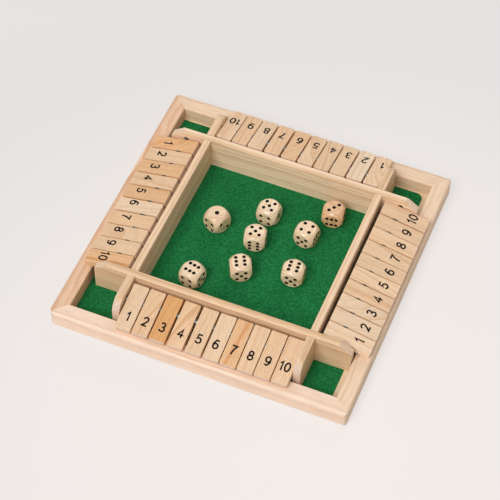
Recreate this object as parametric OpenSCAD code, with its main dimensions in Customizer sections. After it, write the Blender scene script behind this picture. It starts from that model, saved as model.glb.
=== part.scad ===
// Shut the box game for four players. A square wooden board has a felt-lined dice tray in the
// middle, a row of hinged number tiles along each side of the tray, and eight dice.
// Sizes are millimetres. The origin is the middle of the board at table height. X runs along
// the front edge to the right, Y to the back and Z up.

/* [Frame] */
// Outer width and depth of the square frame
board_w = 220; // [196:1:244]
// Width of one frame rail
rail_w = 11.6; // [10:0.1:12.5]
// Height of the frame rails
rail_h = 13.7; // [12:0.1:16]
// Rounding of the two top edges of a rail
rail_top_r = 1.5; // [0.5:0.1:2]
// Rounding of the bottom outer edge of a rail
rail_bottom_r = 1; // [0.3:0.1:1.4]
// Upright rounding of the two left corners of the frame
left_corner_r = 5; // [1:0.1:8]
// Upright rounding of the two right corners of the frame
right_corner_r = 2.5; // [1:0.1:8]

/* [Base] */
// Thickness of the base panel
base_t = 1.8; // [1.2:0.1:3]
// Depth of the rebate under each rail that takes the base panel
base_seat = 5; // [3:0.1:7]
// Gap between the base panel and the end of its rebate
base_fit = 0.1; // [0.05:0.05:0.3]
// Thickness of the felt
felt_t = 0.5; // [0.3:0.1:1]
// Gap between the felt and the left rail
felt_gap_left = 0.3; // [0.1:0.1:5]
// Bare strip of base panel between the felt and the right rail
felt_gap_right = 4.8; // [0.1:0.1:6]
// Gap between the felt and the front rail
felt_gap_front = 0.3; // [0.1:0.1:5]
// Gap between the felt and the back rail
felt_gap_back = 1.5; // [0.1:0.1:5]
// Rounding of the back right corner of the felt
felt_corner_r = 5; // [1:0.5:9]

/* [Tray walls] */
// Inner width and depth of the dice tray
play_w = 128; // [112:1:142]
// Thickness of the tray walls and of the tile cheeks
wall_t = 5.4; // [4.5:0.1:6.5]
// Height of the tray walls above the felt
wall_h = 26.3; // [24:0.1:32]
// Rounding of the top edges of the tray walls
wall_top_r = 1; // [0.3:0.1:1.5]
// How far the tray stands to the right of the middle of the board
tray_shift = 2; // [-2.5:0.1:2.5]
// Gap between the left end of a long wall and the left rail
wall_gap_left = 4.8; // [0.3:0.1:6]
// Gap between the right end of a long wall and the right rail
wall_gap_right = 0.5; // [0.2:0.1:5]
// Length of the sloping cut on the top corners of the long walls
clip_run = 9.2; // [2:0.1:9.5]
// Drop of that sloping cut
clip_drop = 6.7; // [2:0.1:9]
// Gap between a tile cheek and the rail in front of it
cheek_gap = 2; // [0.3:0.1:4]
// Rounding of the upper outer corner of a tile cheek
cheek_r = 10.5; // [3:0.1:12]

/* [Tile rows] */
// Number of tiles in each row
tile_count = 10; // [4:1:10]
// Thickness of a tile
tile_t = 5; // [4.4:0.1:6]
// Height of the bore above the middle of the tile's thickness
bore_lift = 0.4; // [0:0.1:0.6]
// Rounding of the tile's corners, seen from above
tile_corner_r = 1.3; // [0.3:0.1:2]
// Rounding of the edges across the tile's two ends
tile_end_r = 0.6; // [0.2:0.1:1.5]
// How far in from its inner face the rail carries the resting tiles
tile_on_rail = 7; // [4:0.1:8]
// How far the pivot rods stand in from the middle of the channel between tray and rail
rod_in = 0.1; // [-0.5:0.05:1.5]
// Height of the pivot rods above the felt
rod_h = 19; // [18:0.1:20.5]
// Diameter of a pivot rod
rod_d = 2.5; // [1.5:0.1:3]
// Running clearance, on the radius, between a tile and its rod
rod_fit = 0.06; // [0.02:0.01:0.1]
// Diameter of the oversize blind holes that hold the ends of the rods
rod_hole_d = 4.4; // [3.4:0.1:5]
// Depth of those blind holes
rod_hole_depth = 4.2; // [3:0.1:4.3]
// Gap between the end of a rod and the bottom of its hole
rod_end_gap = 0.3; // [0.1:0.1:1]
// Outer diameter of a spacer washer
washer_d = 5; // [4:0.1:6]
// Thickness of a spacer washer
washer_t = 0.7; // [0.4:0.1:1]
// Gap between a washer and the tile beside it
washer_gap = 0.055; // [0.03:0.005:0.1]
// Gap between the last tile of a row and the wall or cheek beside it
row_end_gap = 0.3; // [0.2:0.05:1]
// Play in a row, which leaves some of its gaps looser than others
row_play = 4; // [0:0.1:5]
// Gap between the swinging inner end of a tile and the nearest rail or wall
swing_gap = 0.35; // [0.2:0.05:2]

/* [Dice] */
// Size of a die from face to face
die_size = 15.4; // [13:0.1:16.4]
// Diameter of the ball shape that rounds the corners of a die
die_ball_d = 20; // [19:0.1:22]
// Diameter of a pip
pip_d = 2.3; // [1.6:0.1:2.7]
// Diameter of the larger pip of the one
one_pip_d = 3; // [1.6:0.1:4]
// Depth of a pip
pip_depth = 0.5; // [0.3:0.1:0.7]
// Distance of the corner pips from the middle lines of the face
pip_offset = 3.1; // [2.9:0.1:3.4]
// Half the distance between the two lines of three pips on the six
six_across = 2.95; // [2.8:0.05:3.2]
// Distance between neighbouring pips in a line of three on the six
six_along = 3.4; // [3:0.1:3.5]

/* [Hidden] */
// Hair gap under a piece that can be lifted off what it rests on
rest_gap = 0.02;
// Gap, on the radius, between a rod and what holds it without turning
rod_seat_gap = 0.05;

ROWS = ["front", "right", "back", "left"];
// For each row, the shares of its play before each tile and after the last one
play_shares = ["41246300000", "91212000023", "33211244000", "81112331000"];

// The dice as thrown: their places from the middle of the tray, to the right and to the back,
// which spread out with the tray, then their turns and the numbers on top and in front
dice_at = [
  [-37.1, 12], [-4.9, 32.5], [-5.3, 7.3], [27.6, 24.1],
  [38.8, 48.9], [-33.8, -40.2], [-5, -21.5], [31.5, -11.5]
];
dice_turn = [-24.4, -3, 11.8, -6.6, 8.1, -11, 28.1, 5.7];
dice_top = "15543666";
dice_front = "44656455";
// Room to each side of the tray's middle for which those places are given
throw_reach = 54;

// Names of the tiles and of the dice
function tile_name(row, i) = str("tile_", ROWS[row], "_", i);
function die_name(i) = str("die_", i);

// Levels
felt_z = base_t + felt_t;
rod_z = felt_z + rod_h;

// Distances from the middle of the board
frame_in = board_w / 2 - rail_w;

// Distances from the middle of the tray
tray_in = play_w / 2;
tray_out = tray_in + wall_t;
channel_w = frame_in - tray_out;
rod_offset = channel_w / 2 - rod_in;
rod_r = tray_out + rod_offset;

// A tile at rest. The rounding of its lower outer edge lies on the rail, and its lower face
// passes the rod at a fixed distance, which gives the tilt and the length outside the rod.
under_bore = tile_t / 2 + bore_lift;
reach = frame_in + tile_on_rail - rod_r;
rise = rod_z - rail_h - rest_gap - tile_end_r;
span = sqrt(reach * reach + rise * rise);
tile_tilt = atan2(rise, reach) - asin((under_bore - tile_end_r) / span);
tile_nose = tile_end_r + sqrt(span * span - pow(under_bore - tile_end_r, 2));

// The inner end swings between the tray wall and the rail, over the felt
swing_r = min(rod_offset, channel_w - rod_offset - abs(tray_shift), rod_h) - swing_gap;
tile_tail = sqrt(swing_r * swing_r - under_bore * under_bore);
tile_len = tile_nose + tile_tail;

// Tiles and washers share the row between the two end gaps
tile_gap = washer_t + 2 * washer_gap;
row_w = play_w - 2 * row_end_gap;
tile_w = (row_w - (tile_count - 1) * tile_gap - row_play) / tile_count;

// Number that the i-th digit of a text stands for
function number_of(digits, i) = ord(digits[i - 1]) - ord("0");

// Shares of play before tile i of a row, and the position of the tile's middle along the row
function shares_before(row, i) =
  let (shares = [for (k = [1:i]) number_of(play_shares[row], k)])
    shares * [for (share = shares) 1];
function tile_x(row, i) =
  -row_w / 2 + (i - 0.5) * tile_w + (i - 1) * tile_gap
  + row_play * shares_before(row, i) / shares_before(row, tile_count + 1);

// A pip is the cap of a ball of this radius
function pip_ball_r(d) = (d * d / 4 + pip_depth * pip_depth) / (2 * pip_depth);
dice_spread = (tray_in - die_ball_d / 2) / throw_reach;

pine = [0.86, 0.72, 0.53];
pale_pine = [0.91, 0.79, 0.61];
felt_green = [0.05, 0.33, 0.13];
steel = [0.72, 0.73, 0.74];
clear_plastic = [0.9, 0.92, 0.93];
die_wood = [0.92, 0.84, 0.68];

// A rectangle with round corners, centred
module soft_rect(size, r) {
  square([size[0] - 2 * r, size[1]], center = true);
  square([size[0], size[1] - 2 * r], center = true);
  for (x = [-1, 1])
    for (y = [-1, 1])
      translate([x * (size[0] / 2 - r), y * (size[1] / 2 - r)])
        circle(r = r, $fn = 48);
}

// Turns a piece drawn for the front row to another side of the tray
module at_side(side) {
  translate([tray_shift, 0, 0])
    rotate([0, 0, 90 * side])
      children();
}

// Outline of the whole frame with its rounded corners
module frame_outline() {
  intersection_for (side = [[-1, left_corner_r], [1, right_corner_r]])
    translate([-side[0] * board_w, 0])
      soft_rect([3 * board_w, board_w], side[1]);
}

// Section of a rail, inner face at the left, with the rebate for the base panel
module rail_section() {
  difference() {
    union() {
      translate([rail_w / 2, rail_h / 2])
        soft_rect([rail_w, rail_h], rail_top_r);
      translate([rail_w / 2, rail_h / 4])
        soft_rect([rail_w, rail_h / 2], rail_bottom_r);
      square([rail_w / 2, rail_h / 2]);
    }
    translate([-1, -1])
      square([1 + base_seat, 1 + base_t]);
  }
}

// One rail of the frame, mitred at both ends
module rail(side) {
  color(pine)
    intersection() {
      rotate([0, 0, 90 * side])
        translate([-board_w / 2, -frame_in, 0])
          rotate([90, 0, 90])
            linear_extrude(board_w)
              mirror([1, 0])
                rail_section();
      rotate([0, 0, 90 * side])
        linear_extrude(rail_h)
          polygon([[0, 0], [-board_w / 2, -board_w / 2], [board_w / 2, -board_w / 2]]);
      linear_extrude(rail_h)
        frame_outline();
    }
}

// Panel under the whole board, held in the rebates of the rails
module base_panel() {
  panel_w = 2 * (frame_in + base_seat - base_fit);
  color(pale_pine)
    translate([-panel_w / 2, -panel_w / 2, 0])
      cube([panel_w, panel_w, base_t]);
}

// Felt on the base panel, with a bare strip left along the right rail
module felt() {
  x_low = -frame_in + felt_gap_left;
  x_high = frame_in - felt_gap_right;
  y_low = -frame_in + felt_gap_front;
  y_high = frame_in - felt_gap_back;
  color(felt_green)
    translate([0, 0, base_t])
      linear_extrude(felt_t)
        union() {
          translate([x_low, y_low])
            square([x_high - x_low, y_high - y_low - felt_corner_r]);
          translate([x_low, y_low])
            square([x_high - x_low - felt_corner_r, y_high - y_low]);
          translate([x_high - felt_corner_r, y_high - felt_corner_r])
            circle(r = felt_corner_r, $fn = 48);
        }
}

// Blind hole for the end of a rod. It starts at the origin and runs along X. The rod lies at
// the bottom of the hole, which is larger than the rod.
module rod_hole() {
  lift = rod_hole_d / 2 - rod_d / 2 - rod_seat_gap;
  translate([-1, 0, rod_z + lift])
    rotate([0, 90, 0])
      cylinder(d = rod_hole_d, h = 1 + rod_hole_depth, $fn = 48);
}

// A length of tray wall that starts at the origin and runs along X, with its top edges rounded
module wall_bar(length) {
  rotate([90, 0, 90])
    linear_extrude(length) {
      translate([wall_t / 2, wall_h / 2])
        soft_rect([wall_t, wall_h], wall_top_r);
      square([wall_t, wall_h / 2]);
    }
}

// Long wall of the tray. It runs on past the tray and holds the rods of the side rows.
module long_wall(side) {
  x_low = -frame_in + wall_gap_left;
  x_high = frame_in - wall_gap_right;
  y_low = side == 0 ? -tray_out : tray_in;
  color(pale_pine)
    difference() {
      intersection() {
        translate([x_low, y_low, felt_z])
          wall_bar(x_high - x_low);
        translate([0, y_low + wall_t, felt_z])
          rotate([90, 0, 0])
            linear_extrude(wall_t)
              polygon([
                [x_low, 0],
                [x_high, 0],
                [x_high, wall_h - clip_drop],
                [x_high - clip_run, wall_h],
                [x_low + clip_run, wall_h],
                [x_low, wall_h - clip_drop]
              ]);
      }
      for (x = [-rod_r, rod_r])
        translate([tray_shift + x, side == 0 ? -tray_in : tray_in, 0])
          rotate([0, 0, side == 0 ? -90 : 90])
            rod_hole();
    }
}

// The two short walls, butted between the long walls
module side_walls() {
  color(pale_pine)
    for (x = [-tray_in, tray_out])
      translate([tray_shift + x, -tray_in, felt_z])
        rotate([0, 0, 90])
          wall_bar(play_w);
}

// Outline of a tile cheek, from the long wall outwards
module cheek_outline() {
  length = frame_in - cheek_gap - tray_out;
  square([length, wall_h - cheek_r]);
  square([length - cheek_r, wall_h]);
  intersection() {
    translate([length - cheek_r, wall_h - cheek_r])
      circle(r = cheek_r, $fn = 64);
    square([length, wall_h]);
  }
}

// One cheek at the right end of the front row, with the hole for the rod's end
module cheek() {
  difference() {
    translate([tray_in, -tray_out, felt_z])
      rotate([90, 0, -90])
        mirror([0, 0, 1])
          linear_extrude(wall_t)
            cheek_outline();
    translate([tray_in, -rod_r, 0])
      rod_hole();
  }
}

// The four cheeks that hold the rods of the front row and of the back row
module tile_cheeks() {
  color(pale_pine)
    for (side = [0, 2])
      at_side(side)
        for (end = [0, 1])
          mirror([end, 0, 0])
            cheek();
}

// The four pivot rods, one through each row of tiles
module pivot_rods() {
  rod_len = play_w + 2 * (rod_hole_depth - rod_end_gap);
  color(steel)
    for (side = [0:3])
      at_side(side)
        translate([-rod_len / 2, -rod_r, rod_z])
          rotate([0, 90, 0])
            cylinder(d = rod_d, h = rod_len, $fn = 48);
}

// A spacer washer in each gap between two tiles
module spacer_washers() {
  color(clear_plastic)
    for (side = [0:3])
      at_side(side)
        for (i = [1:tile_count - 1])
          translate([(tile_x(side, i) + tile_x(side, i + 1) - washer_t) / 2, -rod_r, rod_z])
            rotate([0, 90, 0])
              linear_extrude(washer_t)
                difference() {
                  circle(d = washer_d, $fn = 48);
                  circle(d = rod_d + 2 * rod_seat_gap, $fn = 48);
                }
}

// One tile lying level, with the middle of its bore at the origin and its outer end at -Y
module tile_blank() {
  difference() {
    intersection() {
      translate([0, (tile_tail - tile_nose) / 2, -under_bore])
        linear_extrude(tile_t)
          soft_rect([tile_w, tile_len], tile_corner_r);
      translate([-tile_w / 2, (tile_tail - tile_nose) / 2, -bore_lift])
        rotate([90, 0, 90])
          linear_extrude(tile_w)
            soft_rect([tile_len, tile_t], tile_end_r);
    }
    translate([-tile_w, 0, 0])
      rotate([0, 90, 0])
        cylinder(r = rod_d / 2 + rod_fit, h = 2 * tile_w, $fn = 48);
  }
}

// Tile i of a row, at rest with its outer edge on the rail
module tile(row, i) {
  color(i % 2 == 0 ? pine : pale_pine)
    at_side(row)
      translate([tile_x(row, i), -rod_r, rod_z])
        rotate([tile_tilt, 0, 0])
          tile_blank();
}

// Pips of one face, drawn on the face towards +Z of a die centred on the origin. The one and
// the odd pip of three and five are in the middle, and the six has two lines of three along X.
module pips(number) {
  corners = [[1, 1], [-1, -1], [1, -1], [-1, 1]];
  in_pairs = [for (k = [0:3]) if (k < number - number % 2) corners[k] * pip_offset];
  in_lines = [for (x = [-1:1]) for (y = [-1, 1]) [x * six_along, y * six_across]];
  middle = number % 2 == 1 ? [[0, 0]] : [];
  ball_r = pip_ball_r(number == 1 ? one_pip_d : pip_d);
  for (spot = number == 6 ? in_lines : concat(middle, in_pairs))
    translate([spot[0], spot[1], die_size / 2 + ball_r - pip_depth])
      sphere(r = ball_r, $fn = 24);
}

// Direction that each number of a die faces before it is thrown
function face_dir(number) =
  number > 3 ? -face_axis(7 - number) : face_axis(number);
function face_axis(number) =
  number == 1 ? [0, 0, 1] : number == 2 ? [1, 0, 0] : [0, 1, 0];

// Turns a die so that one number is on top and another in front
module show_faces(top, front) {
  up = face_dir(top);
  back = -face_dir(front);
  right = cross(back, up);
  multmatrix([
    [right[0], right[1], right[2], 0],
    [back[0], back[1], back[2], 0],
    [up[0], up[1], up[2], 0],
    [0, 0, 0, 1]
  ])
    children();
}

// A die centred on the origin, with 1 on top, 2 at the right and 3 at the back
module die_blank() {
  difference() {
    intersection() {
      cube(die_size, center = true);
      sphere(d = die_ball_d, $fn = 64);
    }
    pips(1);
    rotate([180, 0, 0])
      pips(6);
    rotate([0, 90, 0])
      pips(2);
    rotate([0, -90, 0])
      pips(5);
    rotate([-90, 0, 0])
      pips(3);
    rotate([90, 0, 0])
      pips(4);
  }
}

// Die i where it came to rest on the felt
module die(i) {
  place = dice_at[i - 1] * dice_spread;
  color(die_wood)
    translate([tray_shift + place[0], place[1], felt_z + rest_gap + die_size / 2])
      rotate([0, 0, dice_turn[i - 1]])
        show_faces(number_of(dice_top, i), number_of(dice_front, i))
          die_blank();
}

base_panel();
felt();
for (side = [0:3]) rail(side);
long_wall(0);  // front_wall
long_wall(2);  // back_wall
side_walls();
tile_cheeks();
pivot_rods();
spacer_washers();
for (row = [0:3]) for (i = [1:tile_count]) tile(row, i);
for (i = [1:len(dice_at)]) die(i);
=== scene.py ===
import math
import random

import bmesh
import bpy
from mathutils import Matrix, Quaternion, Vector


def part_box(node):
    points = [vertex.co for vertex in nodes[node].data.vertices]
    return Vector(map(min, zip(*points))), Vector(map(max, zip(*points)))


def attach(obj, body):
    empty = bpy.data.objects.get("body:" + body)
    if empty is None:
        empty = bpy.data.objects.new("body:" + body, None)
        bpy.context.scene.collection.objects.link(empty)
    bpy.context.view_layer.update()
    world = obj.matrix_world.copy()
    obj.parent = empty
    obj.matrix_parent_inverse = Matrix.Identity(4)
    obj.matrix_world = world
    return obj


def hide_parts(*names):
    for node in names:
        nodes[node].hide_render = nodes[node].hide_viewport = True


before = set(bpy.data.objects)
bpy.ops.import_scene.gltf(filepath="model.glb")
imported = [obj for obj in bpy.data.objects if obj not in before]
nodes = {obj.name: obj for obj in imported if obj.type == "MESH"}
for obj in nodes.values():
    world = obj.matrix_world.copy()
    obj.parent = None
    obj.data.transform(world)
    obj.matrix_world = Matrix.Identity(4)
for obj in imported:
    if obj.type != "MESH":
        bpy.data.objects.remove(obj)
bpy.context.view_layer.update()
scene = bpy.context.scene

MM = 0.001
ROWS = ["front", "right", "back", "left"]
TILE_COUNT = 10


def mm(*values):
    """A point or a size in metres, from millimetres."""
    return Vector(values) * MM


def srgb(red, green, blue):
    """A colour of 0 to 255 a channel, as a shader's linear colour."""
    channels = [c / 255 for c in (red, green, blue)]
    return [c / 12.92 if c <= 0.04045 else ((c + 0.055) / 1.055) ** 2.4 for c in channels] + [1]


# Camera

CAMERA_AT = mm(283.80, -710.59, 1011.60)
CAMERA_AIM = mm(-5.52, 2.56, 0)
CAMERA_ROLL = math.radians(0.4129)
CAMERA_LENS = 127.29


def make_camera():
    data = bpy.data.cameras.new("camera")
    data.lens = CAMERA_LENS
    data.sensor_width = 36
    data.clip_start = 0.05
    data.clip_end = 50
    camera = bpy.data.objects.new("camera", data)
    scene.collection.objects.link(camera)
    back = (CAMERA_AT - CAMERA_AIM).normalized()
    camera.rotation_mode = "QUATERNION"
    camera.rotation_quaternion = Quaternion(back, CAMERA_ROLL) @ (-back).to_track_quat("-Z", "Y")
    camera.location = CAMERA_AT
    scene.camera = camera


# Light and floor

# What the camera sees above the floor, and how bright the light from all round is
SKY_TONE = srgb(238, 234, 231)
SKY_STRENGTH = 0.51
FLOOR_TONE = srgb(225, 221, 218)
FLOOR_REACH = 6
# The floor lies this far under the board, so that they don't share a plane
FLOOR_DROP = 0.0002
# Share of the floor's colour, as the camera sees it, that no shadow reaches: painted light that glows
# on its own. Its colour is a painted pool of light, brightest around one point of the floor and falling
# off with the distance in metres from it.
FLOOR_GLOW = 0.65
PAINTED_LIGHT_MIDDLE = (0.11, -0.12, 0)
PAINTED_LIGHT_TONES = [
    (0, srgb(254, 247, 243)),
    (0.2, srgb(249, 243, 240)),
    (0.36, srgb(234, 231, 229)),
    (0.52, srgb(237, 233, 230)),
]
# The key lamp stands in front and a little to the left, the fill lamp behind
KEY_POWER = 172
KEY_SIZE = 2.6
KEY_AT = (-0.75, -3.2, 4.1)
FILL_POWER = 26
FILL_SIZE = 2
FILL_AT = (-0.2, 3.1, 2.2)


def make_lamp(name, place, power, size):
    """A square lamp that points at the middle of the board."""
    data = bpy.data.lights.new(name, "AREA")
    data.energy = power
    data.size = size
    lamp = bpy.data.objects.new(name, data)
    lamp.location = place
    lamp.rotation_mode = "QUATERNION"
    lamp.rotation_quaternion = (-Vector(place)).to_track_quat("-Z", "Y")
    scene.collection.objects.link(lamp)


def make_light():
    """Even light from all round, which the camera sees as a pale wall, and two soft lamps."""
    world = bpy.data.worlds.new("studio")
    world.use_nodes = True
    tree = world.node_tree
    tree.nodes.clear()
    path = add(tree, "ShaderNodeLightPath")
    light = add(tree, "ShaderNodeBackground", {"Strength": SKY_STRENGTH})
    seen = add(tree, "ShaderNodeBackground", {"Color": SKY_TONE})
    shares = {0: path.outputs["Is Camera Ray"], 1: light.outputs[0], 2: seen.outputs[0]}
    mix = add(tree, "ShaderNodeMixShader", shares)
    add(tree, "ShaderNodeOutputWorld", {"Surface": mix.outputs[0]})
    scene.world = world
    make_lamp("key", KEY_AT, KEY_POWER, KEY_SIZE)
    make_lamp("fill", FILL_AT, FILL_POWER, FILL_SIZE)


def make_floor():
    mesh = bpy.data.meshes.new("floor")
    corners = [(-1, -1), (1, -1), (1, 1), (-1, 1)]
    places = [(x * FLOOR_REACH, y * FLOOR_REACH, -FLOOR_DROP) for x, y in corners]
    mesh.from_pydata(places, [], [(0, 1, 2, 3)])
    floor = bpy.data.objects.new("floor", mesh)
    scene.collection.objects.link(floor)
    material, tree, shader = new_material("floor_paper")
    shader.inputs["Base Color"].default_value = FLOOR_TONE
    shader.inputs["Roughness"].default_value = 0.9
    shader.inputs["Specular IOR Level"].default_value = 0.1
    place = add(tree, "ShaderNodeTexCoord").outputs["Object"]
    # Painted light: the camera sees a glow that is brightest around one point near the board and dims
    # with the distance from it
    ends = {0: place, 1: PAINTED_LIGHT_MIDDLE}
    away = add(tree, "ShaderNodeVectorMath", ends, operation="DISTANCE").outputs["Value"]
    glow = add(tree, "ShaderNodeEmission", {"Color": ramp(tree, away, PAINTED_LIGHT_TONES), "Strength": 1.0})
    path = add(tree, "ShaderNodeLightPath")
    share = maths(tree, "MULTIPLY", path.outputs["Is Camera Ray"], FLOOR_GLOW)
    mix = add(tree, "ShaderNodeMixShader", {0: share, 1: shader.outputs[0], 2: glow.outputs[0]})
    tree.links.new(mix.outputs[0], tree.nodes["Material Output"].inputs["Surface"])
    mesh.materials.append(material)


# Materials

def new_material(name):
    """A material with one Principled shader, with its node tree and that shader."""
    material = bpy.data.materials.new(name)
    material.use_nodes = True
    tree = material.node_tree
    return material, tree, tree.nodes["Principled BSDF"]


def add(tree, kind, inputs=None, **settings):
    """A new node. Its inputs are given by name or number, as values or as another node's output."""
    made = tree.nodes.new(kind)
    for key, value in settings.items():
        setattr(made, key, value)
    for key, value in (inputs or {}).items():
        if isinstance(value, bpy.types.NodeSocket):
            tree.links.new(value, made.inputs[key])
        else:
            made.inputs[key].default_value = value
    return made


def maths(tree, operation, *values):
    """Output of a Math node."""
    return add(tree, "ShaderNodeMath", dict(enumerate(values)), operation=operation).outputs[0]


def mapped(tree, vector, scale, shift=(0, 0, 0)):
    """The vector scaled and then shifted, by one value for each axis."""
    inputs = {"Vector": vector, "Scale": scale, "Location": shift}
    return add(tree, "ShaderNodeMapping", inputs).outputs[0]


def noise(tree, vector, scale, detail=2.0, roughness=0.5):
    """Noise from 0 to 1, with its grain stretched by one scale for each axis."""
    stretched = mapped(tree, vector, scale)
    inputs = {"Vector": stretched, "Scale": 1.0, "Detail": detail, "Roughness": roughness}
    return add(tree, "ShaderNodeTexNoise", inputs).outputs[0]


def sway(tree, vector, scale, width):
    """Slow noise around zero, as wide as given from its lowest to its highest."""
    return maths(tree, "MULTIPLY", maths(tree, "SUBTRACT", noise(tree, vector, scale), 0.5), width)


def grey(tree, level):
    """A grey of a changing level, as a colour."""
    return add(tree, "ShaderNodeCombineColor", {0: level, 1: level, 2: level}).outputs[0]


def blend_colours(tree, factor, first, second, mode="MIX"):
    """Output of a colour mix of two values or sockets."""
    made = add(tree, "ShaderNodeMix", data_type="RGBA", blend_type=mode)
    for index, value in ((0, factor), (6, first), (7, second)):
        if isinstance(value, bpy.types.NodeSocket):
            tree.links.new(value, made.inputs[index])
        else:
            made.inputs[index].default_value = value
    return made.outputs[2]


def ramp(tree, factor, stops):
    """A colour ramp from a list of places and grey levels or colours."""
    made = add(tree, "ShaderNodeValToRGB", {"Fac": factor})
    points = made.color_ramp.elements
    while len(points) < len(stops):
        points.new(0.5)
    for point, (place, value) in zip(points, stops):
        point.position = place
        point.color = value if hasattr(value, "__len__") else (value, value, value, 1)
    return made.outputs[0]


def mottled(name, scale, detail, tones, rough_change, rough_least):
    """A material whose tone and roughness change a little from place to place."""
    material, tree, shader = new_material(name)
    place = add(tree, "ShaderNodeTexCoord").outputs["Object"]
    patches = noise(tree, place, (scale, scale, scale), detail)
    rough = maths(tree, "MULTIPLY_ADD", patches, rough_change, rough_least)
    tree.links.new(ramp(tree, patches, tones), shader.inputs["Base Color"])
    tree.links.new(rough, shader.inputs["Roughness"])
    return material, shader


# Wood

# Sawn ends are greyer and pinker than the faces. A face starts to look sawn, and looks fully
# sawn, where its direction has these shares along the grain.
END_PALE = srgb(238, 214, 194)
END_DARK = srgb(214, 182, 158)
END_FROM = 0.4
END_FULL = 0.75
RESIN = srgb(206, 132, 62)
# How far the edges of a streak of resin wander, in millimetres
STREAK_WANDER = 2.0


def make_pine_group():
    """Node group for sawn pine. Its vector is in millimetres, with the grain along X and the
    pith of the tree on the X axis."""
    group = bpy.data.node_groups.new("pine", "ShaderNodeTree")
    sockets = group.interface
    sockets.new_socket("Vector", in_out="INPUT", socket_type="NodeSocketVector")
    for name in ("Early", "Late"):
        sockets.new_socket(name, in_out="INPUT", socket_type="NodeSocketColor")
    for name in ("Ring", "Contrast", "Bend", "End", "Streak", "Slant", "Resin"):
        sockets.new_socket(name, in_out="INPUT", socket_type="NodeSocketFloat")
    sockets.new_socket("Color", in_out="OUTPUT", socket_type="NodeSocketColor")
    for name in ("Roughness", "Height"):
        sockets.new_socket(name, in_out="OUTPUT", socket_type="NodeSocketFloat")
    given = group.nodes.new("NodeGroupInput")
    result = group.nodes.new("NodeGroupOutput")
    vector = given.outputs["Vector"]

    # Distance from the pith, bent by slow noise that runs along the grain
    along, across, depth = add(group, "ShaderNodeSeparateXYZ", {0: vector}).outputs
    bend = given.outputs["Bend"]
    elsewhere = mapped(group, vector, (1, 1, 1), (71.0, 33.0, 5.0))
    y = maths(group, "ADD", across, sway(group, vector, (0.012, 0.04, 0.04), bend))
    z = maths(group, "ADD", depth, sway(group, elsewhere, (0.015, 0.045, 0.045), bend))
    square = maths(group, "ADD", maths(group, "MULTIPLY", y, y), maths(group, "MULTIPLY", z, z))
    radius = maths(group, "SQRT", square)
    wobble = maths(group, "MULTIPLY", noise(group, vector, (0.08, 0.35, 0.35), 3.0), 1.3)

    # Rings of uneven width and strength. Each darkens slowly and ends at once.
    years = maths(group, "DIVIDE", maths(group, "ADD", radius, wobble), given.outputs["Ring"])
    seasons = {"W": years, "Scale": 0.33, "Detail": 2.0}
    uneven = add(group, "ShaderNodeTexNoise", seasons, noise_dimensions="1D").outputs[0]
    years = maths(group, "MULTIPLY_ADD", uneven, 3.0, years)
    phase = maths(group, "FRACT", years)
    year = {"W": maths(group, "FLOOR", years)}
    chance = add(group, "ShaderNodeTexWhiteNoise", year, noise_dimensions="1D").outputs["Value"]
    strength = maths(group, "MULTIPLY_ADD", chance, 0.8, 0.2)
    line = ramp(group, phase, [(0.0, 0.05), (0.4, 0.15), (0.8, 0.75), (0.9, 1.0), (1.0, 0.05)])
    late = maths(group, "MULTIPLY", line, strength)

    # Fibres, streaks and slow changes of tone
    fibres = noise(group, vector, (0.25, 7.0, 7.0), 3.0, 0.6)
    streaks = noise(group, vector, (0.09, 1.2, 1.2), 3.0, 0.6)
    clouds = noise(group, vector, (0.03, 0.07, 0.07), 2.0)
    amount = maths(group, "MULTIPLY", late, given.outputs["Contrast"])
    tone = blend_colours(group, amount, given.outputs["Early"], given.outputs["Late"])
    shade = maths(group, "MULTIPLY_ADD", fibres, 0.16, 0.92)
    shade = maths(group, "MULTIPLY", shade, maths(group, "MULTIPLY_ADD", streaks, 0.4, 0.8))
    shade = maths(group, "MULTIPLY", shade, maths(group, "MULTIPLY_ADD", clouds, 0.16, 0.92))

    # A streak of resin, which crosses the grain at a small slant
    crossing = maths(group, "MULTIPLY_ADD", along, given.outputs["Slant"], across)
    crossing = maths(group, "MULTIPLY_ADD", streaks, STREAK_WANDER, crossing)
    off = maths(group, "ABSOLUTE", maths(group, "SUBTRACT", crossing, given.outputs["Streak"]))
    resin = ramp(group, maths(group, "MULTIPLY", off, 0.35), [(0.0, 1.0), (0.25, 0.8), (0.65, 0.0)])
    tone = blend_colours(group, maths(group, "MULTIPLY", resin, given.outputs["Resin"]), tone, RESIN)
    face_colour = blend_colours(group, 1.0, tone, grey(group, shade), "MULTIPLY")

    # Sawn ends, with pores and darker rings
    speckle = noise(group, vector, (2.5, 2.5, 2.5), 2.0)
    pores = ramp(group, speckle, [(0.35, END_DARK), (0.65, END_PALE)])
    end_colour = blend_colours(group, maths(group, "MULTIPLY", late, 0.35), pores, END_DARK)
    colour = blend_colours(group, given.outputs["End"], face_colour, end_colour)
    rough = maths(group, "MULTIPLY_ADD", fibres, 0.18, 0.42)
    raised = maths(group, "MULTIPLY", fibres, 0.5)
    height = maths(group, "ADD", raised, maths(group, "MULTIPLY", late, -0.4))
    group.links.new(colour, result.inputs["Color"])
    group.links.new(rough, result.inputs["Roughness"])
    group.links.new(height, result.inputs["Height"])
    return group


# Turns that lay each axis along X, where the pine has its grain
GRAIN_TURN = {"x": (0, 0, 0), "y": (0, 0, math.radians(90)), "z": (0, math.radians(90), 0)}


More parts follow.
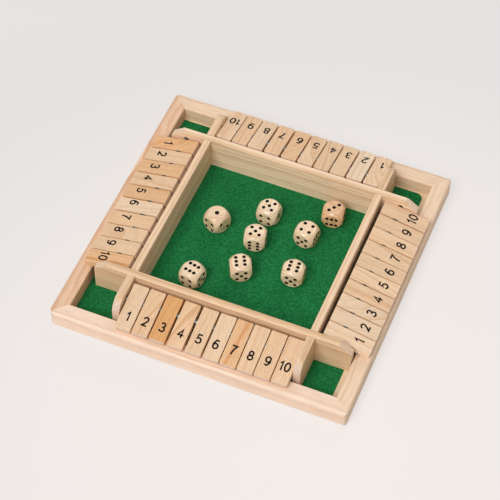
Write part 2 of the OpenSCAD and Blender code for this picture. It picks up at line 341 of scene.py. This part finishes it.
def wood(name, grain, pith, early, late, ring, contrast, bend=6.0, gloss=0.3, end_share=1.0):
    """Pine with its grain along one axis of the board. Its pattern is shifted in millimetres:
    first along the grain, then across it, and then by the depth of the pith."""
    material, tree, shader = new_material(name)
    coordinates = add(tree, "ShaderNodeTexCoord")
    inputs = {
        "Vector": coordinates.outputs["Object"],
        "Scale": (1000, 1000, 1000),
        "Rotation": GRAIN_TURN[grain],
        "Location": pith,
    }
    turned = add(tree, "ShaderNodeMapping", inputs)
    facing = add(tree, "ShaderNodeSeparateXYZ", {0: coordinates.outputs["Normal"]})
    to_end = maths(tree, "ABSOLUTE", facing.outputs[grain.upper()])
    limits = {"Value": to_end, "From Min": END_FROM, "From Max": END_FULL, "To Max": end_share}
    end = add(tree, "ShaderNodeMapRange", limits, clamp=True)
    pine = add(tree, "ShaderNodeGroup", name="pine wood")
    pine.node_tree = PINE
    tree.links.new(turned.outputs[0], pine.inputs["Vector"])
    tree.links.new(end.outputs[0], pine.inputs["End"])
    pine.inputs["Early"].default_value = early
    pine.inputs["Late"].default_value = late
    pine.inputs["Ring"].default_value = ring
    pine.inputs["Contrast"].default_value = contrast
    pine.inputs["Bend"].default_value = bend
    relief = {"Height": pine.outputs["Height"], "Strength": 0.25, "Distance": 0.0001}
    bump = add(tree, "ShaderNodeBump", relief)
    tree.links.new(pine.outputs["Color"], shader.inputs["Base Color"])
    tree.links.new(pine.outputs["Roughness"], shader.inputs["Roughness"])
    tree.links.new(bump.outputs[0], shader.inputs["Normal"])
    shader.inputs["Specular IOR Level"].default_value = gloss
    return material


def dress(node, material):
    """Gives a piece its material."""
    for holder in nodes[node].material_slots:
        holder.material = material


# Corners nearer to each other than this, in metres, count as one
WELD_REACH = 0.000002
# Edges with a larger angle than this between their faces are rounded
SHARP_EDGE = math.radians(50)


def soften(node, width, segments=3):
    """Rounds the sharp edges of a piece by some tenths of a millimetre."""
    weld = nodes[node].modifiers.new("weld", "WELD")
    weld.merge_threshold = WELD_REACH
    bevel = nodes[node].modifiers.new("soft edges", "BEVEL")
    bevel.width = width * MM
    bevel.segments = segments
    bevel.limit_method = "ANGLE"
    bevel.angle_limit = SHARP_EDGE


# Wood tones, from pale to orange
PALE_EARLY = srgb(240, 214, 184)
PALE_LATE = srgb(216, 172, 128)
WARM_EARLY = srgb(229, 172, 114)
WARM_LATE = srgb(206, 138, 80)
# How orange each tile is, from 0 to 9, from the first tile of its row to the last
TILE_WARMTH = {"front": "2494326343", "right": "1113233333", "back": "2033354242", "left": "7363614336"}
# How light each tile is, with 5 as the plain tone, and the change of a step. This is partly each tile's
# own tone and partly painted light: the right and back rows, which face away from the key lamp, are
# made lighter on the whole.
TILE_TONE_AND_PAINTED_LIGHT = {"front": "4446556656", "right": "9666956956", "back": "7765777678", "left": "6445455545"}
LIGHT_STEP = 0.02
TILE_EDGE_R = 0.28
# Tiles with a streak of resin: how far it is off the tile's middle in millimetres, and its slant
RESIN_STREAKS = {"tile_front_7": (0.3, 0.13), "tile_left_10": (-2.8, 0)}
RESIN_STRENGTH = 0.6


def between(first, second, part):
    """A colour that far on the way from the first to the second."""
    return [a + (b - a) * part for a, b in zip(first, second)]


WALL_EDGE_R = 0.9


def dress_frame():
    """Wood of the rails, the walls, the cheeks and the base: its grain, its shift, its tone
    between the ring lines and on them, and for the rails the width of a ring."""
    rails = {
        "front_rail": ("x", (0, 60, 20), srgb(250, 223, 200), srgb(228, 186, 150), 2.4),
        "back_rail": ("x", (40, -130, 24), srgb(240, 211, 181), srgb(214, 166, 122), 2.4),
        "left_rail": ("y", (20, 96, 14), srgb(238, 201, 169), srgb(200, 140, 98), 2.2),
        "right_rail": ("y", (20, -75, 25), srgb(243, 213, 184), srgb(216, 172, 130), 2.6),
    }
    for name, (grain, pith, early, late, ring) in rails.items():
        dress(name, wood(name, grain, pith, early, late, ring, contrast=0.7, bend=5, gloss=0.15))
    walls = {
        "front_wall": ("x", (0, 110, -6), srgb(243, 208, 170), srgb(210, 162, 116)),
        "back_wall": ("x", (30, -98, 9), srgb(255, 225, 192), srgb(214, 170, 126)),
        "side_walls": ("y", (0, 95, 6), srgb(246, 213, 178), srgb(204, 156, 112)),
        "tile_cheeks": ("y", (25, 12, 50), srgb(236, 203, 166), srgb(204, 154, 108)),
    }
    for name, (grain, pith, early, late) in walls.items():
        dress(name, wood(name, grain, pith, early, late, ring=3.6, contrast=0.95, bend=4))
        soften(name, WALL_EDGE_R, 4)
    early, late = srgb(236, 214, 178), srgb(214, 178, 130)
    dress("base_panel", wood("base_panel", "y", (0, 10, 90), early, late, ring=3.0, contrast=0.4))


def add_streak(material, node, grain, pith, off, slant):
    """Puts a streak of resin off the middle of a tile by some millimetres."""
    low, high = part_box(node)
    middle = (low + high) / 2 / MM
    along, across = (-middle.y, middle.x) if grain == "y" else (middle.x, middle.y)
    crossing = across + pith[1] + slant * (along + pith[0])
    inputs = material.node_tree.nodes["pine wood"].inputs
    inputs["Slant"].default_value = slant
    inputs["Streak"].default_value = crossing + STREAK_WANDER / 2 + off
    inputs["Resin"].default_value = RESIN_STRENGTH


def dress_tiles(chance):
    for row in ROWS:
        grain = "y" if row in ("front", "back") else "x"
        for i in range(TILE_COUNT):
            node = f"tile_{row}_{i + 1}"
            warmth = int(TILE_WARMTH[row][i]) / 9
            shift = chance.uniform(0, 400), chance.uniform(-150, 150)
            pith = (*shift, chance.choice((-1, 1)) * chance.uniform(10, 45))
            # Painted light in part: the lighter steps of the right and back rows stand in for key light
            # that those rows turn away from
            light = 1 + LIGHT_STEP * (int(TILE_TONE_AND_PAINTED_LIGHT[row][i]) - 5)
            early = [min(1, c * light) for c in between(PALE_EARLY, WARM_EARLY, warmth)]
            late = [min(1, c * light) for c in between(PALE_LATE, WARM_LATE, warmth)]
            ring = chance.uniform(1.6, 3.2)
            contrast = chance.uniform(0.6, 1)
            bend = chance.uniform(4, 9)
            material = wood(node, grain, pith, early, late, ring, contrast, bend)
            if node in RESIN_STREAKS:
                add_streak(material, node, grain, pith, *RESIN_STREAKS[node])
            dress(node, material)
            soften(node, TILE_EDGE_R)


# The die by the back wall is more tan than the others
TAN_DIE = 5
DIE_EDGE_R = 0.3


def dress_dice(chance):
    for i in range(1, len(DICE) + 1):
        node = f"die_{i}"
        tan = 0.85 if i == TAN_DIE else chance.uniform(0, 0.3)
        early = between(srgb(255, 232, 199), srgb(242, 188, 138), tan)
        late = between(srgb(216, 168, 116), srgb(200, 138, 86), tan)
        pith = (chance.uniform(0, 300), chance.uniform(-90, 90), chance.uniform(20, 60))
        grain = chance.choice("xyz")
        look = {"ring": 1.3, "contrast": 1.0, "bend": 4, "gloss": 0.5, "end_share": 0.1}
        material = wood(node, grain, pith, early, late, **look)
        shader = material.node_tree.nodes["Principled BSDF"]
        shader.inputs["Coat Weight"].default_value = 1
        shader.inputs["Coat Roughness"].default_value = 0.15
        dress(node, material)
        soften(node, DIE_EDGE_R)


STEEL_TONES = [(0, srgb(190, 192, 194)), (1, srgb(222, 223, 224))]
WASHER_TONES = [(0, srgb(150, 152, 152)), (1, srgb(196, 197, 196))]


def dress_rods_and_washers():
    steel, shader = mottled("rod_steel", 900, 3.0, STEEL_TONES, 0.2, 0.2)
    shader.inputs["Metallic"].default_value = 1
    dress("pivot_rods", steel)
    plastic, shader = mottled("washer_plastic", 700, 2.0, WASHER_TONES, 0.12, 0.25)
    shader.inputs["Transmission Weight"].default_value = 0.95
    shader.inputs["IOR"].default_value = 1.5
    dress("spacer_washers", plastic)


# Felt

def link_piece(name, mesh, body, material):
    """A new piece that moves with a body of the board."""
    piece = bpy.data.objects.new(name, mesh)
    scene.collection.objects.link(piece)
    mesh.materials.append(material)
    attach(piece, body)
    return piece


FELT_TONES = [(0.34, srgb(4, 76, 35)), (0.5, srgb(21, 112, 58)), (0.66, srgb(48, 142, 84))]


def felt_material():
    material, tree, shader = new_material("green_felt")
    place = add(tree, "ShaderNodeTexCoord").outputs["Object"]
    fuzz = noise(tree, place, (2600, 2600, 2600), 4.0, 0.65)
    tufts = noise(tree, place, (700, 700, 700), 3.0, 0.7)
    clouds = noise(tree, place, (38, 38, 38), 2.0)
    mixed = maths(tree, "ADD", maths(tree, "MULTIPLY", fuzz, 0.4), maths(tree, "MULTIPLY", tufts, 0.6))
    tone = ramp(tree, mixed, FELT_TONES)
    shade = grey(tree, maths(tree, "MULTIPLY_ADD", clouds, 0.18, 0.91))
    tree.links.new(blend_colours(tree, 1.0, tone, shade, "MULTIPLY"), shader.inputs["Base Color"])
    bump = add(tree, "ShaderNodeBump", {"Height": mixed, "Strength": 0.7, "Distance": 0.0003})
    tree.links.new(bump.outputs[0], shader.inputs["Normal"])
    tree.links.new(maths(tree, "MULTIPLY_ADD", fuzz, 0.1, 0.88), shader.inputs["Roughness"])
    shader.inputs["Specular IOR Level"].default_value = 0.15
    shader.inputs["Sheen Weight"].default_value = 0.25
    shader.inputs["Sheen Roughness"].default_value = 0.5
    shader.inputs["Sheen Tint"].default_value = srgb(120, 200, 140)
    return material


FELT_CORNER_R = 5
FELT_STEP = 1.6
# How much lower than its highest fibres the top of the felt can be
FELT_FUZZ = 0.05


def make_felt():
    """The felt as one closed sheet of small squares, with a slightly uneven top."""
    low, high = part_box("felt")
    step = FELT_STEP * MM
    corner = FELT_CORNER_R * MM
    across = math.ceil((high.x - low.x) / step)
    along = math.ceil((high.y - low.y) / step)
    xs = [low.x + (high.x - low.x) * i / across for i in range(across + 1)]
    ys = [low.y + (high.y - low.y) * j / along for j in range(along + 1)]
    made = bmesh.new()
    chance = random.Random(5)

    def rounded(x, y):
        """Moves a point of the back right corner square onto its rounded outline."""
        from_x, from_y = x - (high.x - corner), y - (high.y - corner)
        if from_x <= 0 or from_y <= 0:
            return x, y
        reach = max(from_x, from_y) / math.hypot(from_x, from_y)
        return high.x - corner + from_x * reach, high.y - corner + from_y * reach

    layers = []
    for level in (low.z, high.z):
        layer = []
        for x in xs:
            for y in ys:
                px, py = rounded(x, y)
                fall = chance.uniform(0, FELT_FUZZ) * MM if level == high.z else 0
                layer.append(made.verts.new((px, py, level - fall)))
        layers.append(layer)
    lower, upper = layers
    line = len(ys)
    for i in range(across):
        for j in range(along):
            k = i * line + j
            made.faces.new([upper[n] for n in (k, k + line, k + line + 1, k + 1)])
            made.faces.new([lower[n] for n in (k, k + 1, k + line + 1, k + line)])
    rim = [i * line for i in range(across)]
    rim += [across * line + j for j in range(along)]
    rim += [i * line + along for i in range(across, 0, -1)]
    rim += list(range(along, 0, -1))
    for a, b in zip(rim, rim[1:] + rim[:1]):
        made.faces.new([lower[a], lower[b], upper[b], upper[a]])
    bmesh.ops.recalc_face_normals(made, faces=made.faces)
    mesh = bpy.data.meshes.new("felt_sheet")
    made.to_mesh(mesh)
    made.free()
    piece = link_piece("felt_sheet", mesh, "board", felt_material())
    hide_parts("felt")


# Numbers on the tiles

DIGIT_H = 7.2
DIGIT_STROKE = 1.22
# Place of a digit after the one before it, and its shift to the right, in heights
DIGIT_ADVANCE = 0.6
DIGIT_SHIFT = 0.03
# How far the ink stands up from the wood and goes into it
INK_T = 0.03
INK_DEPTH = 0.05
INK_TONES = [(0.3, srgb(8, 6, 6)), (0.75, srgb(24, 20, 19))]
# A number leans to either side by up to this many degrees
LEAN = 1.5
TRAY_MIDDLE = mm(2, 0, 0)
# Distance of the first and the last number of a row from the tray's middle
NUMBERS_OUT = {"front": (96.6, 94.1), "right": (96.4, 95.1), "back": (96.9, 94.8), "left": (94.8, 94.1)}
# How far each number is printed off the middle of its tile, along the row
NUMBERS_OFF = {
    "front": (0.1, 0.2, 0.2, 0.5, 0, -0.6, -0.4, -0.2, -0.3, -0.8),
    "right": (1.1, 0.2, 0.1, 0.2, 0, 0, 0.1, 0.1, 0.1, 0),
    "back": (-1.4, -0.7, -0.8, -1.1, -0.7, -0.5, -0.3, -0.9, -0.8, -0.9),
    "left": (-0.3, -1.4, -1.3, -2, -2.2, -2.9, -2.2, -2.2, -2, -2),
}


def arc(cx, cy, rx, ry, start, end, steps=18):
    """Points on an ellipse between two angles in degrees, on a digit one high."""
    angles = [math.radians(start + (end - start) * k / steps) for k in range(steps + 1)]
    return [(cx + rx * math.cos(a), cy + ry * math.sin(a)) for a in angles]


# Middle lines of the strokes of each digit, in heights, from the left and from the foot
STROKES = {
    "0": [arc(0.3, 0.5, 0.235, 0.43, 90, 450, 40)],
    "1": [[(0.13, 0.72), (0.26, 0.8), (0.36, 0.93), (0.36, 0.0)]],
    "2": [
        arc(0.3, 0.69, 0.225, 0.24, 175, -35)
        + [(0.3, 0.29), (0.13, 0.15), (0.07, 0.07), (0.55, 0.07)]
    ],
    "3": [arc(0.28, 0.71, 0.2, 0.22, 160, -80) + arc(0.28, 0.27, 0.24, 0.225, 75, -165)],
    "4": [[(0.6, 0.3), (0.06, 0.3), (0.4, 0.9), (0.4, 0.0)]],
    "5": [[(0.53, 0.93), (0.17, 0.93), (0.11, 0.5)] + arc(0.29, 0.33, 0.25, 0.27, 125, -160)],
    "6": [
        arc(0.31, 0.76, 0.2, 0.17, 20, 110)
        + arc(0.5, 0.45, 0.44, 0.45, 140, 180)
        + arc(0.3, 0.32, 0.235, 0.26, 180, 535)
    ],
    "7": [[(0.06, 0.93), (0.56, 0.93), (0.4, 0.68), (0.28, 0.36), (0.23, 0.0)]],
    "8": [arc(0.3, 0.72, 0.195, 0.21, 270, 630, 30), arc(0.3, 0.28, 0.235, 0.22, 90, 450, 30)],
    "9": [
        arc(0.3, 0.65, 0.235, 0.27, 0, 360, 30)
        + arc(0.1, 0.5, 0.44, 0.45, -2, -40)
        + arc(0.29, 0.21, 0.2, 0.145, -70, -160)
    ],
}


def ribbon(made, points, width, base, top):
    """A flat stroke of even width along the points, as a closed thin solid."""
    sides = []
    for k, point in enumerate(points):
        before = Vector(points[max(0, k - 1)])
        after = Vector(points[min(len(points) - 1, k + 1)])
        here = Vector(point)
        first = (here - before).normalized() if k else (after - here).normalized()
        second = (after - here).normalized() if k < len(points) - 1 else first
        along = (first + second).normalized()
        out = Vector((-along.y, along.x))
        stretch = min(1 / max(0.45, out.dot(Vector((-first.y, first.x)))), 2)
        sides.append((here + out * width / 2 * stretch, here - out * width / 2 * stretch))
    rings = []
    for left, right in sides:
        corners = [(left, base), (right, base), (right, top), (left, top)]
        rings.append([made.verts.new((p.x, p.y, level)) for p, level in corners])
    for one, two in zip(rings, rings[1:]):
        for k in range(4):
            made.faces.new([one[k], one[(k + 1) % 4], two[(k + 1) % 4], two[k]])
    made.faces.new(rings[0][::-1])
    made.faces.new(rings[-1])


def number_mesh(name, text):
    """The digits of a number, centred on the origin, in metres, a hair above the XY plane."""
    made = bmesh.new()
    height = DIGIT_H * MM
    for place, digit in enumerate(text):
        left = (place - len(text) / 2) * DIGIT_ADVANCE + DIGIT_SHIFT
        for stroke in STROKES[digit]:
            points = [((left + x) * height, (y - 0.5) * height) for x, y in stroke]
            ribbon(made, points, DIGIT_STROKE * MM, -INK_DEPTH * MM, INK_T * MM)
    bmesh.ops.recalc_face_normals(made, faces=made.faces)
    mesh = bpy.data.meshes.new(name)
    made.to_mesh(mesh)
    made.free()
    return mesh


def ink_material():
    material, shader = mottled("black_ink", 900, 3.0, INK_TONES, 0.2, 0.45)
    shader.inputs["Specular IOR Level"].default_value = 0.15
    return material


def top_face(node):
    """The middle and the direction of the largest flat face on top of a tile."""
    faces = [f for f in nodes[node].data.polygons if f.normal.z > 0.9]
    largest = max(faces, key=lambda f: f.area)
    return largest.center.copy(), largest.normal.copy()


def make_numbers(ink, chance):
    for side, row in enumerate(ROWS):
        turn = Matrix.Rotation(math.radians(90 * side), 3, "Z")
        along, out = turn @ Vector((1, 0, 0)), turn @ Vector((0, -1, 0))
        for i in range(1, TILE_COUNT + 1):
            node = f"tile_{row}_{i}"
            low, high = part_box(node)
            point, normal = top_face(node)
            sideways = ((low + high) / 2 - TRAY_MIDDLE).dot(along) + NUMBERS_OFF[row][i - 1] * MM
            first, last = NUMBERS_OUT[row]
            reach = first + (last - first) * (i - 1) / (TILE_COUNT - 1)
            spot = TRAY_MIDDLE + along * sideways + out * reach * MM
            spot.z = point.z - (spot - point).to_2d().dot(normal.to_2d()) / normal.z
            up = normal.cross(along).normalized()
            axes = Matrix((along, up, normal)).transposed().to_4x4()
            lean = Matrix.Rotation(math.radians(chance.uniform(-LEAN, LEAN)), 4, "Z")
            mesh = number_mesh(f"{node}_number", str(i))
            mesh.transform(Matrix.Translation(spot) @ axes @ lean)
            link_piece(f"{node}_number", mesh, node, ink)


# Pips of the dice

DIE_SIZE = 15.4
PIP_DEPTH = 0.5
PIP_D = 2.3
ONE_PIP_D = 3
# How far the paint laps over a pip's rim, stands up from the wood and goes into it
PIP_LAP = 0.18
PAINT_T = 0.03
PAINT_DEPTH = 0.12
# Distance of the pips from the middle lines of a face, with those of the six on their own
PIP_OFFSET = 3.1
SIX_ACROSS = 2.95
SIX_ALONG = 3.4
# Turn of each die in degrees, then the numbers on top and in front
DICE = [
    (-24.4, 1, 4),
    (-3, 5, 4),
    (11.8, 5, 6),
    (-6.6, 4, 5),
    (8.1, 3, 6),
    (-11, 6, 4),
    (28.1, 6, 5),
    (5.7, 6, 5),
]
# Turns about X and then Y, in degrees, that bring the top of a die to each number's face
FACE_TURNS = {1: (0, 0), 6: (180, 0), 2: (0, 90), 5: (0, -90), 3: (-90, 0), 4: (90, 0)}


def face_turn(number):
    """Turn from the top of a die to the face of a number, before it is thrown."""
    x, y = FACE_TURNS[number]
    return Matrix.Rotation(math.radians(y), 4, "Y") @ Matrix.Rotation(math.radians(x), 4, "X")


def face_axis(number):
    """Direction that a number of a die faces before it is thrown."""
    return face_turn(number).to_3x3() @ Vector((0, 0, 1))


def pip_places(number):
    """Places of a number's pips on its face, in millimetres."""
    middle = [(0, 0)] if number % 2 else []
    corners = [(1, 1), (-1, -1), (1, -1), (-1, 1)][: number - number % 2]
    if number == 6:
        return [(x * SIX_ALONG, y * SIX_ACROSS) for x in (-1, 0, 1) for y in (-1, 1)]
    return middle + [(x * PIP_OFFSET, y * PIP_OFFSET) for x, y in corners]


def pip_cap(made, placed, diameter):
    """Paint in one pip: a thin closed cap that follows the hollow and laps over its rim, drawn
    on a face towards +Z."""
    rim = diameter / 2
    ball = (rim ** 2 + PIP_DEPTH ** 2) / (2 * PIP_DEPTH)
    middle = DIE_SIZE / 2 + ball - PIP_DEPTH
    reaches = [rim * k / 6 for k in range(7)] + [rim + PIP_LAP]
    spokes = 24
    layers = []
    for lift in (PAINT_T, -PAINT_DEPTH):
        rings = []
        for k, reach in enumerate(reaches):
            level = middle - math.sqrt(ball ** 2 - min(reach, rim) ** 2) + lift
            count = 1 if k == 0 else spokes
            ring = []
            for s in range(count):
                a = 2 * math.pi * s / spokes
                point = mm(reach * math.cos(a), reach * math.sin(a), level)
                ring.append(made.verts.new(placed @ point))
            rings.append(ring)
        layers.append(rings)
        for one, two in zip(rings, rings[1:]):
            for s in range(spokes):
                t = (s + 1) % spokes
                corners = [two[s], two[t], one[t % len(one)], one[s % len(one)]]
                made.faces.new(list(dict.fromkeys(corners)))
    for s in range(spokes):
        t = (s + 1) % spokes
        made.faces.new([layers[0][-1][s], layers[0][-1][t], layers[1][-1][t], layers[1][-1][s]])


def make_pips(ink):
    for i, (turn, top, front) in enumerate(DICE, 1):
        low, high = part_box(f"die_{i}")
        up, back = face_axis(top), -face_axis(front)
        shown = Matrix((back.cross(up), back, up)).to_4x4()
        middle = Matrix.Translation((low + high) / 2)
        place = middle @ Matrix.Rotation(math.radians(turn), 4, "Z") @ shown
        made = bmesh.new()
        for number in FACE_TURNS:
            face = place @ face_turn(number)
            for x, y in pip_places(number):
                spot = Matrix.Translation(mm(x, y, 0))
                pip_cap(made, face @ spot, ONE_PIP_D if number == 1 else PIP_D)
        bmesh.ops.recalc_face_normals(made, faces=made.faces)
        mesh = bpy.data.meshes.new(f"die_{i}_pips")
        made.to_mesh(mesh)
        made.free()
        link_piece(f"die_{i}_pips", mesh, f"die_{i}", ink)


make_camera()
make_light()
make_floor()
PINE = make_pine_group()
dress_frame()
# The seeds fix the grain of each tile and die, and how far each number leans
dress_tiles(random.Random(11))
dress_dice(random.Random(23))
dress_rods_and_washers()
make_felt()
INK = ink_material()
make_numbers(INK, random.Random(7))
make_pips(INK)

scene.view_settings.view_transform = "Standard"
